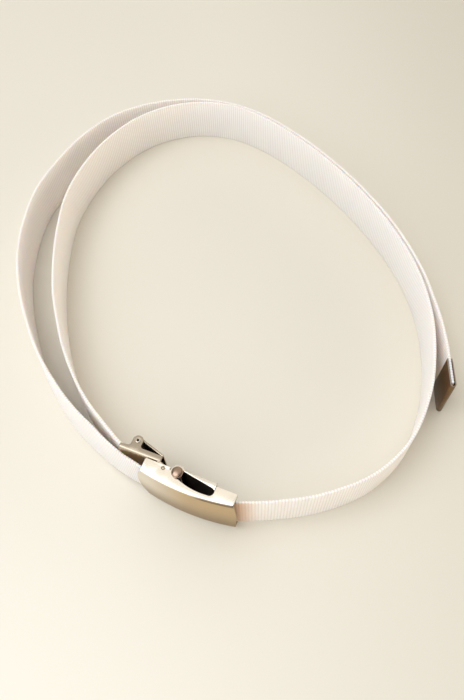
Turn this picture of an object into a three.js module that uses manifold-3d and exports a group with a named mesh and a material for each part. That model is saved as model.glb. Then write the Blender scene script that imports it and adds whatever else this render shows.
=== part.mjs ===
// A woven web belt with a sliding-bar buckle, standing on its edge in two laps.
// Millimetres, +Z up. The buckle's long side runs along X and its face looks towards -Y.
// Everything is laid out from the datum, the left front corner of the buckle's face, and the
// finished belt is then moved so that the middle of its footprint is the origin.
import * as THREE from "three";
import { mergeVertices } from "three/addons/utils/BufferGeometryUtils.js";
import Module from "manifold-3d";

// Webbing
const WEB_WIDTH = 30;
const WEB_THICKNESS = 1.5;
const WEB_STEP = 9; // length of one straight facet of the webbing
const SEAT_GAP = 0.3; // between the webbing and a face that it lies against

// Buckle case: a face plate with a flange along each long edge
const CASE_LENGTH = 48.5;
const CASE_DEPTH = 7.3; // from the chord of the face to the flanges' back edge
const STEP_BACK = 0.8; // how much less deep the flanges are at their right end
const CASE_SPARE = 3.1; // room between the flanges beyond the webbing's width
const CASE_WALL = 0.9;
const FACE_BULGE = 2.4;
const FACE_BOW_LEFT = 3.5; // how far each end of the face stands past the flanges
const FACE_BOW_RIGHT = 1.2;

// Locking bar, its end knobs and the slots it slides in
const BAR_RADIUS = 2;
const BAR_START_X = 17.5;
const BAR_SETBACK = 1.35; // from the flanges' back edge to the bar's middle at its first place
const BAR_END_X = 35.3;
const PINCH_GAP = 0.3; // left between bar and webbing when the bar is at its end
const SLOT_CLEARANCE = 0.15;
const SLOT_BULGE = 1.2; // how far the slot's front edge bows towards the face
const SLOT_OVERSHOOT = 1; // by which a cutter passes through a plate
const KNOB_RADIUS = 2.9;
const KNOB_HEIGHT = 1.5;
const KNOB_SKIRT = 0.45; // the straight part of a knob's side, as a share of its height
const KNOB_GAP = 0.1; // between a knob and the flange it rides over
const SPIGOT_RADIUS = 1.1;
const SPIGOT_LENGTH = 0.9;
const SPIGOT_GAP = 0.05;

// Bar guide: a wall that closes the back of the case behind the bar, with a lip in each flange
const GUIDE_WALL = 0.9;
const GUIDE_RIM = 1.75; // width of the lip around the slot's left end
const GUIDE_BEHIND_SLOT = 0.05; // from the slot's left end to the level of the wall's back
const GUIDE_PAST_BAR = 2.1; // how far the wall goes on past the middle of the bar at its end
const GUIDE_GAP = 0.15; // between the guide and the flanges it is staked into
const GUIDE_RECESS = 0.3; // how far the lips lie below the flanges' outer faces

// Strap clip: a channel that swings on a pin between the flanges
const HINGE_X = 10.2;
const HINGE_PIN_RADIUS = 0.9;
const HINGE_EDGE = 0.7; // metal between the pin's hole and the flange's back edge
const BARREL_WALL = 0.8;
const PIN_GAP = 0.08;
const CLIP_WALL = 0.8;
const CLIP_SIDE_GAP = 0.5; // between the webbing's edge and the channel's side
const CLIP_BEHIND_CASE = 0.45; // between the flanges' back edge and the channel's base
const CLIP_MOUTH = -15.5;
const CLIP_END = 7.2;
const SIDE_DEPTH = 3.45;
const EAR_RADIUS = 2.7;

// Clamp flap and its pin
const FLAP_AXIS_X = -7.8;
const FLAP_PIN_RADIUS = 0.8;
const FLAP_PIN_HEAD_RADIUS = 1.4;
const FLAP_PIN_HEAD = 0.4;
const FLAP_HUB_RADIUS = 2.3;
const FLAP_WALL = 0.9;
const FLAP_LENGTH = 14.6; // from the pin to the finger edge, along the channel
const FLAP_TIP_RISE = 1.1; // of the finger edge above the channel's sides
const FLAP_SIDE_GAP = 0.3;
const CAM_REACH = 3.85; // from the pin to the points of the teeth
const TOOTH_COUNT = 3;
const TOOTH_DEPTH = 0.5;
const CAM_SPREAD = Math.PI / 4; // the part of a turn that the teeth take up
const GRIP_GAP = 0.12; // between the teeth and the webbing

// Metal tip folded over the free end
const TIP_LENGTH = 17;
const TIP_WALL = 0.5;
const TIP_GAP = 0.3;

const ROUND = 32; // facets in a full circle
const DOME_RINGS = 7;

// Heights that follow from the sizes above: the lower knob stands on the floor
const CASE_HEIGHT = WEB_WIDTH + CASE_SPARE + 2 * CASE_WALL;
const CASE_BOTTOM = KNOB_HEIGHT + KNOB_GAP;
const CASE_TOP = CASE_BOTTOM + CASE_HEIGHT;
const CASE_MIDDLE = (CASE_BOTTOM + CASE_TOP) / 2;
const WEB_IN_CASE = CASE_BOTTOM + CASE_WALL + SEAT_GAP;
const WEB_IN_CLIP = CASE_MIDDLE - WEB_WIDTH / 2;
const CLIP_INSIDE = WEB_WIDTH + 2 * CLIP_SIDE_GAP;
const CLIP_BOTTOM = CASE_MIDDLE - CLIP_INSIDE / 2 - CLIP_WALL;
const CLIP_TOP = CASE_MIDDLE + CLIP_INSIDE / 2 + CLIP_WALL;

// Places seen from above that follow from the sizes above
const FACE_RADIUS =
  ((CASE_LENGTH / 2) ** 2 + FACE_BULGE ** 2) / (2 * FACE_BULGE);
const FACE_CENTRE = new THREE.Vector2(
  CASE_LENGTH / 2,
  FACE_RADIUS - FACE_BULGE,
);
const BAR_START = new THREE.Vector2(BAR_START_X, CASE_DEPTH - BAR_SETBACK);
const BAR_END = new THREE.Vector2(
  BAR_END_X,
  webbingSeat(BAR_END_X) + WEB_THICKNESS / 2 + PINCH_GAP + BAR_RADIUS,
);
const GUIDE_BACK =
  BAR_START.y + BAR_RADIUS + SLOT_CLEARANCE + GUIDE_BEHIND_SLOT;
const GUIDE_END_X = BAR_END_X + GUIDE_PAST_BAR;
const HINGE_HOLE = HINGE_PIN_RADIUS + PIN_GAP;
const HINGE = new THREE.Vector2(HINGE_X, CASE_DEPTH - HINGE_EDGE - HINGE_HOLE);
const CLIP_FRONT = CASE_DEPTH + CLIP_BEHIND_CASE;
const CLIP_BACK = CLIP_FRONT + CLIP_WALL; // the face that the webbing lies against
const SIDE_PLATE_BACK = CLIP_FRONT + SIDE_DEPTH;
const CLAMPED = CLIP_BACK + SEAT_GAP + WEB_THICKNESS / 2;
const FLAP_AXIS = new THREE.Vector2(
  FLAP_AXIS_X,
  CLAMPED + WEB_THICKNESS / 2 + GRIP_GAP + CAM_REACH,
);
const FLAP_TIP = new THREE.Vector2(
  FLAP_AXIS_X + FLAP_LENGTH,
  SIDE_PLATE_BACK + FLAP_TIP_RISE,
);

// The front surface of the face above its chord, at a place along the buckle.
function faceFront(x) {
  return (
    FACE_CENTRE.y - Math.sqrt(FACE_RADIUS ** 2 - (x - FACE_CENTRE.x) ** 2)
  );
}

// The middle of the webbing where it lies against the back of the face.
function webbingSeat(x) {
  return faceFront(x) + CASE_WALL + SEAT_GAP + WEB_THICKNESS / 2;
}

// The webbing's middle line, from the clamped end to the metal tip, seen from above. Each point is
// x, y, the height of the lower edge, and how far the upper edge leans towards the inside.
const INNER_LAP = [
  [-3, CLAMPED, WEB_IN_CLIP, 0],
  [-10, CLAMPED, WEB_IN_CLIP, 0],
  [-16.5, CLAMPED + 0.7, WEB_IN_CLIP, 0.4],
  [-24, 13.2, 3, 1.2],
  [-34, 17.9, 1.6, 1.9],
  [-48, 26.2, 0.3, 1.9],
  [-62, 37.6, 0, 1.6],
  [-75.3, 51.2, 0, 1.1],
  [-87.5, 66.6, 0, 0.6],
  [-98.4, 82.4, 0, 0],
  [-110.2, 103, 0, 0],
  [-120.7, 125.6, 0, 0],
  [-129.7, 152, 0, 0],
  [-132.7, 180, 0, 0],
  [-129.6, 209, 0, 0],
  [-119.2, 236.4, 0, 0],
  [-102.2, 256, 0, 0],
  [-82, 267, 0, 0],
  [-60, 270.4, 0, 0],
  [-36, 266.4, 0, 0],
  [-8, 255.5, 0, 0],
  [20, 240.3, 0, 0],
  [48, 220.8, 0, 0],
  [74, 197.7, 0, 0],
  [95.6, 171.4, 0, 0],
  [109.6, 145, 0, 0],
  [117.1, 120, 0, 0],
  [120.4, 95, 0, 0],
  [117.2, 65.4, 0, 0],
  [105, 41.6, 0, 0],
  [CASE_LENGTH + 35.3, 22.4, 0, 0],
  [CASE_LENGTH + 18, 12.3, 0.6, 0],
];
const THROUGH_CASE = [
  [CASE_LENGTH + 6, 6.4, 2, 0],
  [CASE_LENGTH - 2.5, webbingSeat(CASE_LENGTH - 2.5) + 1.4, WEB_IN_CASE, 0],
  [CASE_LENGTH - 11.5, webbingSeat(CASE_LENGTH - 11.5) + 0.1, WEB_IN_CASE, 0],
  [CASE_LENGTH - 20.5, webbingSeat(CASE_LENGTH - 20.5), WEB_IN_CASE, 0],
  [19, webbingSeat(19), WEB_IN_CASE, 0],
  [10, webbingSeat(10) + 0.4, WEB_IN_CASE, 0],
  [2, webbingSeat(2) + 0.6, WEB_IN_CASE, 0.3],
  [-5, webbingSeat(-5) + 0.3, 2.6, 0.8],
];
const OUTER_LAP = [
  [-13, 4.5, 2.1, 1.3],
  [-24, 7, 1.2, 2.4],
  [-37, 11.4, 0.4, 3.5],
  [-53, 18, 0, 3.7],
  [-71, 29.1, 0, 3.1],
  [-88, 42.6, 0, 2.1],
  [-105, 60.3, 0, 1],
  [-120.5, 79.2, 0, 0.3],
  [-134.4, 101, 0, 0],
  [-145, 126, 0, 0],
  [-151.4, 152, 0, 0],
  [-151.6, 177, 0, 0],
  [-147.8, 206, 0, 0],
  [-137.4, 232, 0, 0],
  [-120.4, 251, 0, 0],
  [-101.6, 263.2, 0, 0],
  [-81.6, 270.4, 0, 0],
  [-60, 272.6, 0, 0],
  [-35.3, 268.5, 0, 0],
  [-7.1, 257.5, 0, 0],
  [21.2, 242.2, 0, 0],
  [49.5, 222.6, 0, 0],
  [75.8, 199.4, 0, 0],
  [98, 172.6, 0, 0],
  [109.8, 152.9, 0, 0],
  [116.3, 140.5, 0, 0],
  [121.5, 128.5, 0, 0],
  [125.6, 117, 0, 0],
  [129.9, 104.2, 0, 0],
];

// Joins and cuts -------------------------------------------------------------------------------

const wasm = await Module();
wasm.setup();

// A closed three.js geometry as a manifold-3d solid.
function solid(geometry) {
  const bare = geometry.index ? geometry.toNonIndexed() : geometry.clone();
  bare.deleteAttribute("normal");
  bare.deleteAttribute("uv");
  const merged = mergeVertices(bare, 1e-4);
  return new wasm.Manifold(
    new wasm.Mesh({
      numProp: 3,
      vertProperties: merged.attributes.position.array,
      triVerts: new Uint32Array(merged.index.array),
    }),
  );
}

// A manifold-3d solid as a three.js geometry.
function geometryOf(made) {
  const mesh = made.getMesh();
  const positions = new THREE.BufferAttribute(mesh.vertProperties, 3);
  const geometry = new THREE.BufferGeometry();
  geometry.setAttribute("position", positions);
  geometry.setIndex(new THREE.BufferAttribute(mesh.triVerts, 1));
  geometry.computeVertexNormals();
  return geometry;
}

// A flat outline seen from above, raised from one height to another.
function raised(outline, bottom, top) {
  const geometry = new THREE.ExtrudeGeometry(outline, {
    depth: top - bottom,
    bevelEnabled: false,
    curveSegments: ROUND / 2,
  });
  return solid(geometry.translate(0, 0, bottom));
}

// A round upright bar.
function rod(centre, radius, bottom, top) {
  const geometry = new THREE.CylinderGeometry(
    radius,
    radius,
    top - bottom,
    ROUND,
  );
  geometry.rotateX(Math.PI / 2);
  geometry.translate(centre.x, centre.y, (bottom + top) / 2);
  return solid(geometry);
}

function polygon(points) {
  return new THREE.Shape(points.map(([x, y]) => new THREE.Vector2(x, y)));
}

// Adds a named mesh to a group.
function piece(group, name, geometry, material) {
  const mesh = new THREE.Mesh(geometry, material);
  mesh.name = name;
  group.add(mesh);
}

// Materials ------------------------------------------------------------------------------------

const webbingWhite = new THREE.MeshStandardMaterial({
  color: 0xf2eeea,
  roughness: 0.85,
  metalness: 0,
});
const satinNickel = new THREE.MeshStandardMaterial({
  color: 0xb7ab93,
  roughness: 0.4,
  metalness: 1,
});
const brightNickel = new THREE.MeshStandardMaterial({
  color: 0xd8cfba,
  roughness: 0.2,
  metalness: 1,
});
const darkBronze = new THREE.MeshStandardMaterial({
  color: 0x6d6252,
  roughness: 0.35,
  metalness: 1,
});

// Buckle case ----------------------------------------------------------------------------------

// The angle at which the face's arc reaches a place along the buckle.
function faceAngle(x) {
  return Math.atan2(faceFront(x) - FACE_CENTRE.y, x - FACE_CENTRE.x);
}

// The bent face plate, cut to its outline with two bowed ends.
function facePlate() {
  const from = faceAngle(-FACE_BOW_LEFT);
  const to = faceAngle(CASE_LENGTH + FACE_BOW_RIGHT);
  const band = new THREE.Shape();
  band.absarc(FACE_CENTRE.x, FACE_CENTRE.y, FACE_RADIUS, from, to, false);
  band.absarc(
    FACE_CENTRE.x,
    FACE_CENTRE.y,
    FACE_RADIUS - CASE_WALL,
    to,
    from,
    true,
  );
  const outline = new THREE.Shape();
  outline.moveTo(0, CASE_BOTTOM);
  outline.lineTo(CASE_LENGTH, CASE_BOTTOM);
  outline.quadraticCurveTo(
    CASE_LENGTH + 2 * FACE_BOW_RIGHT,
    CASE_MIDDLE,
    CASE_LENGTH,
    CASE_TOP,
  );
  outline.lineTo(0, CASE_TOP);
  outline.quadraticCurveTo(-2 * FACE_BOW_LEFT, CASE_MIDDLE, 0, CASE_BOTTOM);
  const cutter = new THREE.ExtrudeGeometry(outline, {
    depth: 2 * CASE_DEPTH,
    bevelEnabled: false,
    curveSegments: ROUND / 2,
  });
  cutter.rotateX(Math.PI / 2);
  cutter.translate(0, CASE_DEPTH, 0);
  return raised(band, CASE_BOTTOM, CASE_TOP).intersect(solid(cutter));
}

const slotDirection = BAR_END.clone().sub(BAR_START).normalize();
const slotAngle = slotDirection.angle();
const slotHalfWidth = BAR_RADIUS + SLOT_CLEARANCE;

// A place beside the bar's path: a distance along it from its start, and one to the back of it.
function besidePath(along, back) {
  const sideways = new THREE.Vector2(-slotDirection.y, slotDirection.x);
  return BAR_START.clone()
    .addScaledVector(slotDirection, along)
    .addScaledVector(sideways, back);
}

// The slot's outline: round ends around the bar's two end positions, a straight back edge, and a
// front edge that bows towards the face.
function slotOutline() {
  const middle = BAR_END.distanceTo(BAR_START) / 2;
  const bow = besidePath(middle, -slotHalfWidth - 2 * SLOT_BULGE);
  const frontOfEnd = besidePath(2 * middle, -slotHalfWidth);
  const slot = new THREE.Shape();
  slot.absarc(
    BAR_START.x,
    BAR_START.y,
    slotHalfWidth,
    slotAngle + Math.PI / 2,
    slotAngle + (3 * Math.PI) / 2,
    false,
  );
  slot.quadraticCurveTo(bow.x, bow.y, frontOfEnd.x, frontOfEnd.y);
  slot.absarc(
    BAR_END.x,
    BAR_END.y,
    slotHalfWidth,
    slotAngle - Math.PI / 2,
    slotAngle + Math.PI / 2,
    false,
  );
  return slot;
}

// The guide's outline as far as a given end, grown or shrunk by a distance: a straight back, a round
// rim around the bar's first place, and a front line inside the slot.
function guideOutline(endX, grown) {
  const reach = slotHalfWidth + GUIDE_RIM + grown;
  const back = GUIDE_BACK + grown;
  const front = Math.abs(grown);
  const meets = Math.asin((back - BAR_START.y) / reach);
  const outline = new THREE.Shape();
  outline.moveTo(endX, BAR_END.y - front);
  outline.lineTo(endX, back);
  outline.absarc(BAR_START.x, BAR_START.y, reach, meets, Math.PI, false);
  outline.lineTo(BAR_START.x - reach, BAR_START.y - front);
  outline.lineTo(BAR_START.x, BAR_START.y - front);
  return outline;
}

// One flange, cut out for the slot and the guide's lip, with the hole for the hinge pin.
function flange(bottom) {
  const top = bottom + CASE_WALL;
  const low = bottom - SLOT_OVERSHOOT;
  const high = top + SLOT_OVERSHOOT;
  const outline = new THREE.Shape();
  outline.absarc(
    FACE_CENTRE.x,
    FACE_CENTRE.y,
    FACE_RADIUS,
    faceAngle(0),
    faceAngle(CASE_LENGTH),
    false,
  );
  outline.lineTo(CASE_LENGTH, CASE_DEPTH - STEP_BACK);
  outline.lineTo(GUIDE_END_X, CASE_DEPTH - STEP_BACK);
  outline.lineTo(BAR_START.x, CASE_DEPTH);
  outline.lineTo(0, CASE_DEPTH);
  return raised(outline, bottom, top)
    .subtract(raised(slotOutline(), low, high))
    .subtract(raised(guideOutline(GUIDE_END_X + GUIDE_GAP, GUIDE_GAP), low, high))
    .subtract(rod(HINGE, HINGE_HOLE, low, high));
}

function buckleCase() {
  const lower = flange(CASE_BOTTOM);
  const upper = flange(CASE_TOP - CASE_WALL);
  return geometryOf(facePlate().add(lower).add(upper));
}

// Bar guide ------------------------------------------------------------------------------------

// The wall stands behind the bar's whole path; a lip at each end of it fills the flange's cutout.
function barGuide() {
  const bottom = CASE_BOTTOM + GUIDE_RECESS;
  const top = CASE_TOP - GUIDE_RECESS;
  const block = raised(guideOutline(GUIDE_END_X, 0), bottom, top);
  const slot = raised(slotOutline(), 0, CASE_TOP + SLOT_OVERSHOOT);
  const inside = guideOutline(GUIDE_END_X + SLOT_OVERSHOOT, -GUIDE_WALL);
  const hollow = raised(inside, bottom + CASE_WALL, top - CASE_WALL);
  return geometryOf(block.subtract(slot).subtract(hollow));
}

// Locking bar ----------------------------------------------------------------------------------

function lockingBar() {
  const bottom = CASE_BOTTOM;
  const top = CASE_TOP;
  const shaft = rod(BAR_START, BAR_RADIUS, bottom, top);
  const spigots = rod(
    BAR_START,
    SPIGOT_RADIUS,
    bottom - SPIGOT_LENGTH,
    top + SPIGOT_LENGTH,
  );
  return geometryOf(shaft.add(spigots));
}

// A domed knob with a blind bore that fits over the bar's spigot.
function knob() {
  const bore = SPIGOT_RADIUS + SPIGOT_GAP;
  const boreDepth = SPIGOT_LENGTH - KNOB_GAP + SPIGOT_GAP;
  const edge = KNOB_HEIGHT * KNOB_SKIRT;
  const profile = new THREE.Path();
  profile.moveTo(0, boreDepth);
  profile.lineTo(bore, boreDepth);
  profile.lineTo(bore, 0);
  profile.lineTo(KNOB_RADIUS, 0);
  for (let i = 0; i < DOME_RINGS; i++) {
    const turn = (i / DOME_RINGS) * (Math.PI / 2);
    const rise = (KNOB_HEIGHT - edge) * Math.sin(turn);
    profile.lineTo(KNOB_RADIUS * Math.cos(turn), edge + rise);
  }
  profile.lineTo(0, KNOB_HEIGHT);
  const geometry = new THREE.LatheGeometry(profile.getPoints(1), ROUND);
  return geometry.rotateX(Math.PI / 2);
}

// Strap clip -----------------------------------------------------------------------------------

// One side of the channel: a strip along the base with a round ear for the flap's pin.
function sidePlate(bottom) {
  const top = bottom + CLIP_WALL;
  const strip = polygon([
    [CLIP_MOUTH, CLIP_FRONT],
    [CLIP_END, CLIP_FRONT],
    [CLIP_END, SIDE_PLATE_BACK],
    [FLAP_AXIS.x, SIDE_PLATE_BACK],
    [CLIP_MOUTH, SIDE_PLATE_BACK - CLIP_WALL],
  ]);
  const neck = polygon([
    [FLAP_AXIS.x - EAR_RADIUS, SIDE_PLATE_BACK - CLIP_WALL],
    [FLAP_AXIS.x + EAR_RADIUS, SIDE_PLATE_BACK - CLIP_WALL],
    [FLAP_AXIS.x + EAR_RADIUS, FLAP_AXIS.y],
    [FLAP_AXIS.x - EAR_RADIUS, FLAP_AXIS.y],
  ]);
  const ear = rod(FLAP_AXIS, EAR_RADIUS, bottom, top);
  const low = bottom - SLOT_OVERSHOOT;
  const high = top + SLOT_OVERSHOOT;
  const hole = rod(FLAP_AXIS, FLAP_PIN_RADIUS + PIN_GAP, low, high);
  return raised(strip, bottom, top)
    .add(raised(neck, bottom, top))
    .add(ear)
    .subtract(hole);
}

// The channel: a base, a slope down to the barrel around the hinge pin, and two sides.
function clipBase() {
  const base = polygon([
    [CLIP_MOUTH, CLIP_FRONT],
    [CLIP_END, CLIP_FRONT],
    [HINGE.x, HINGE.y + HINGE_HOLE],
    [HINGE.x, HINGE.y + HINGE_HOLE + BARREL_WALL],
    [CLIP_END, CLIP_BACK],
    [CLIP_MOUTH, CLIP_BACK],
  ]);
  const barrel = rod(HINGE, HINGE_HOLE + BARREL_WALL, CLIP_BOTTOM, CLIP_TOP);
  const hole = rod(HINGE, HINGE_HOLE, 0, CLIP_TOP + SLOT_OVERSHOOT);
  return geometryOf(
    raised(base, CLIP_BOTTOM, CLIP_TOP)
      .add(barrel)
      .add(sidePlate(CLIP_BOTTOM))
      .add(sidePlate(CLIP_TOP - CLIP_WALL))
      .subtract(hole),
  );
}

function hingePin() {
  return geometryOf(rod(HINGE, HINGE_PIN_RADIUS, CASE_BOTTOM, CASE_TOP));
}

// Clamp flap -----------------------------------------------------------------------------------

// The flap seen from above: a hub, an arm to the finger edge, and a toothed cam under the hub.
function clampFlap() {
  const bottom = CASE_MIDDLE - CLIP_INSIDE / 2 + FLAP_SIDE_GAP;
  const top = CASE_MIDDLE + CLIP_INSIDE / 2 - FLAP_SIDE_GAP;
  const reach = FLAP_TIP.clone().sub(FLAP_AXIS);
  const lift = Math.asin(FLAP_HUB_RADIUS / reach.length());
  const along = reach.normalize().rotateAround(new THREE.Vector2(), -lift);
  const across = new THREE.Vector2(-along.y, along.x);
  const length = FLAP_TIP.clone().sub(FLAP_AXIS).dot(along);
  const corner = (distance, height) =>
    FLAP_AXIS.clone()
      .addScaledVector(along, distance)
      .addScaledVector(across, height);
  const arm = new THREE.Shape([
    corner(0, FLAP_HUB_RADIUS - FLAP_WALL),
    corner(length, FLAP_HUB_RADIUS - FLAP_WALL),
    corner(length, FLAP_HUB_RADIUS),
    corner(0, FLAP_HUB_RADIUS),
  ]);
  const cam = [new THREE.Vector2(-FLAP_HUB_RADIUS, 0)];
  for (let i = 0; i <= 2 * TOOTH_COUNT; i++) {
    const turn = -Math.PI / 2 + CAM_SPREAD * (i / (2 * TOOTH_COUNT) - 0.5);
    const radius = i % 2 ? CAM_REACH : CAM_REACH - TOOTH_DEPTH;
    cam.push(
      new THREE.Vector2(radius * Math.cos(turn), radius * Math.sin(turn)),
    );
  }
  cam.push(new THREE.Vector2(FLAP_HUB_RADIUS, 0));
  const camSolid = raised(
    new THREE.Shape(cam.map((point) => point.add(FLAP_AXIS))),
    bottom,
    top,
  );
  const low = bottom - SLOT_OVERSHOOT;
  const high = top + SLOT_OVERSHOOT;
  const hole = rod(FLAP_AXIS, FLAP_PIN_RADIUS + PIN_GAP, low, high);
  return geometryOf(
    rod(FLAP_AXIS, FLAP_HUB_RADIUS, bottom, top)
      .add(raised(arm, bottom, top))
      .add(camSolid)
      .subtract(hole),
  );
}

// The flap's pin, with a flat head spread over each ear.
function flapPin() {
  const head = FLAP_PIN_HEAD_RADIUS;
  const low = CLIP_BOTTOM - PIN_GAP - FLAP_PIN_HEAD;
  const high = CLIP_TOP + PIN_GAP + FLAP_PIN_HEAD;
  return geometryOf(
    rod(FLAP_AXIS, FLAP_PIN_RADIUS, low, high)
      .add(rod(FLAP_AXIS, head, low, low + FLAP_PIN_HEAD))
      .add(rod(FLAP_AXIS, head, high - FLAP_PIN_HEAD, high)),
  );
}

// Webbing --------------------------------------------------------------------------------------

const webbingRoute = [...INNER_LAP, ...THROUGH_CASE, ...OUTER_LAP];
const webbingCurve = new THREE.CatmullRomCurve3(
  webbingRoute.map(([x, y]) => new THREE.Vector3(x, y, 0)),
  false,
  "centripetal",
);

// Height and lean at a place along the route, blended between the nearest two points.
function heightAndLean(parameter) {
  const place = parameter * (webbingRoute.length - 1);
  const before = Math.min(Math.floor(place), webbingRoute.length - 2);
  const share = place - before;
  const [, , lowHeight, lowLean] = webbingRoute[before];
  const [, , highHeight, highLean] = webbingRoute[before + 1];
  return {
    height: THREE.MathUtils.lerp(lowHeight, highHeight, share),
    lean: THREE.MathUtils.lerp(lowLean, highLean, share),
  };
}

// A closed band: four corners at every station along the route, joined up and capped.
function webbing() {
  const stations = Math.round(webbingCurve.getLength() / WEB_STEP);
  const positions = [];
  for (let i = 0; i <= stations; i++) {
    const parameter = webbingCurve.getUtoTmapping(i / stations);
    const middle = webbingCurve.getPoint(parameter);
    const tangent = webbingCurve.getTangent(parameter);
    const inward = new THREE.Vector3(tangent.y, -tangent.x, 0);
    const { height, lean } = heightAndLean(parameter);
    const tilt = Math.asin(lean / WEB_WIDTH);
    const up = inward.clone().multiplyScalar(Math.sin(tilt));
    up.z = Math.cos(tilt);
    const through = inward.clone().multiplyScalar(Math.cos(tilt));
    through.z = -Math.sin(tilt);
    middle.z = height + (WEB_THICKNESS / 2) * Math.sin(tilt);
    for (const [side, rise] of [
      [1, 0],
      [1, WEB_WIDTH],
      [-1, WEB_WIDTH],
      [-1, 0],
    ])
      positions.push(
        ...middle
          .clone()
          .addScaledVector(through, (side * WEB_THICKNESS) / 2)
          .addScaledVector(up, rise)
          .toArray(),
      );
  }
  const faces = [0, 1, 2, 0, 2, 3];
  for (let i = 0; i < stations; i++)
    for (let corner = 0; corner < 4; corner++) {
      const a = 4 * i + corner;
      const b = 4 * i + ((corner + 1) % 4);
      faces.push(a, a + 4, b, b, a + 4, b + 4);
    }
  const last = 4 * stations;
  faces.push(last, last + 2, last + 1, last, last + 3, last + 2);
  const geometry = new THREE.BufferGeometry();
  geometry.setAttribute(
    "position",
    new THREE.Float32BufferAttribute(positions, 3),
  );
  geometry.setIndex(faces);
  geometry.computeVertexNormals();
  return geometry;
}

// Metal tip ------------------------------------------------------------------------------------

// A folded sleeve seen from above, open towards -X, where the webbing goes in.
function metalTip() {
  const inside = WEB_THICKNESS / 2 + TIP_GAP;
  const outside = inside + TIP_WALL;
  const length = TIP_LENGTH - outside;
  const outline = new THREE.Shape();
  outline.moveTo(0, -outside);
  outline.lineTo(length, -outside);
  outline.absarc(length, 0, outside, -Math.PI / 2, Math.PI / 2, false);
  outline.lineTo(0, outside);
  outline.lineTo(0, inside);
  outline.lineTo(length, inside);
  outline.absarc(length, 0, inside, Math.PI / 2, -Math.PI / 2, true);
  outline.lineTo(0, -inside);
  return geometryOf(raised(outline, 0, WEB_WIDTH));
}

// Assembly -------------------------------------------------------------------------------------

const belt = new THREE.Group();
piece(belt, "buckle_case", buckleCase(), satinNickel);
piece(belt, "bar_guide", barGuide(), brightNickel);
piece(belt, "locking_bar", lockingBar(), brightNickel);
piece(belt, "clip_hinge_pin", hingePin(), brightNickel);
piece(belt, "clip_base", clipBase(), brightNickel);
piece(belt, "clamp_flap", clampFlap(), brightNickel);
piece(belt, "clamp_flap_pin", flapPin(), brightNickel);
piece(belt, "webbing", webbing(), webbingWhite);

const upperKnob = new THREE.Group();
upperKnob.position.set(BAR_START.x, BAR_START.y, CASE_TOP + KNOB_GAP);
piece(upperKnob, "bar_knob_upper", knob(), brightNickel);
belt.add(upperKnob);

const lowerKnob = new THREE.Group();
lowerKnob.position.set(BAR_START.x, BAR_START.y, CASE_BOTTOM - KNOB_GAP);
lowerKnob.rotation.x = Math.PI;
piece(lowerKnob, "bar_knob_lower", knob(), brightNickel);
belt.add(lowerKnob);

// The tip follows the webbing's last stretch.
const webEnd = webbingCurve.getPoint(1);
const webEndTangent = webbingCurve.getTangent(1);
const tipHolder = new THREE.Group();
tipHolder.rotation.z = Math.atan2(webEndTangent.y, webEndTangent.x);
tipHolder.position
  .copy(webEnd)
  .addScaledVector(
    webEndTangent,
    TIP_GAP + TIP_WALL + WEB_THICKNESS - TIP_LENGTH,
  );
piece(tipHolder, "webbing_tip", metalTip(), darkBronze);
belt.add(tipHolder);

// The origin is the middle of the belt's footprint, on the surface it stands on.
belt.updateMatrixWorld(true);
const footprint = new THREE.Box3().setFromObject(belt, true);
belt.position.set(
  -(footprint.min.x + footprint.max.x) / 2,
  -(footprint.min.y + footprint.max.y) / 2,
  -footprint.min.z,
);

export default belt;
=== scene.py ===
"""A white web belt with a plated sliding-bar buckle, standing on its edge in two laps.

Shapes are worked out in millimetres from the datum, the left front corner of the buckle's face, and go into
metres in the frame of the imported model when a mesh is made. The buckle's long side runs along X, its face
looks towards -Y and +Z is up.
"""

import math

import bmesh
import bpy
import numpy as np
from mathutils import Matrix, Vector
from mathutils.geometry import delaunay_2d_cdt


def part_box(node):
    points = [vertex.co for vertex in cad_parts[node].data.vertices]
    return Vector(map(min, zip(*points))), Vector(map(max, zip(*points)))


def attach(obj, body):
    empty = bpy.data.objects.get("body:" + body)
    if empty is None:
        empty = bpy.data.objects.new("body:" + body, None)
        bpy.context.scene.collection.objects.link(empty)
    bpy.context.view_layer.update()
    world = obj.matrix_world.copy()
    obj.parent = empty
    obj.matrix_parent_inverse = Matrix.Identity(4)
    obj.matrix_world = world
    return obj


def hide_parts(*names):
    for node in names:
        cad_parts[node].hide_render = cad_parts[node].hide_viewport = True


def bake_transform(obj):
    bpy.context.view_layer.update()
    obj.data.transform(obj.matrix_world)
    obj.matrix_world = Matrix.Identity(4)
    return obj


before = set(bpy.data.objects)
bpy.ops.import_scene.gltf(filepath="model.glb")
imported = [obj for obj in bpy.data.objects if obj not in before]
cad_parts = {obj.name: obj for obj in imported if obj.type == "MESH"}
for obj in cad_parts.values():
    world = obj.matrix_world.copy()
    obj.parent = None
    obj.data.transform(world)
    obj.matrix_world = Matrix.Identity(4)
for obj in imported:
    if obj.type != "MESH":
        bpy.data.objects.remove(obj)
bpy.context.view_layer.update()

# Webbing ----------------------------------------------------------------------------------------
# One length of nylon webbing, woven with thick cross cords so that both faces are ribbed. Its first end
# is bitten by the clip, it goes once round, passes behind the buckle's face, and lies outside its first lap.

MM = 0.001
HINGE_X = 10.2
HINGE_Y = 5.62
pin_low, pin_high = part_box("clip_hinge_pin")
datum = np.array([
    (pin_low.x + pin_high.x) / 2 - HINGE_X * MM,
    (pin_low.y + pin_high.y) / 2 - HINGE_Y * MM,
    0,
])

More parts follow.
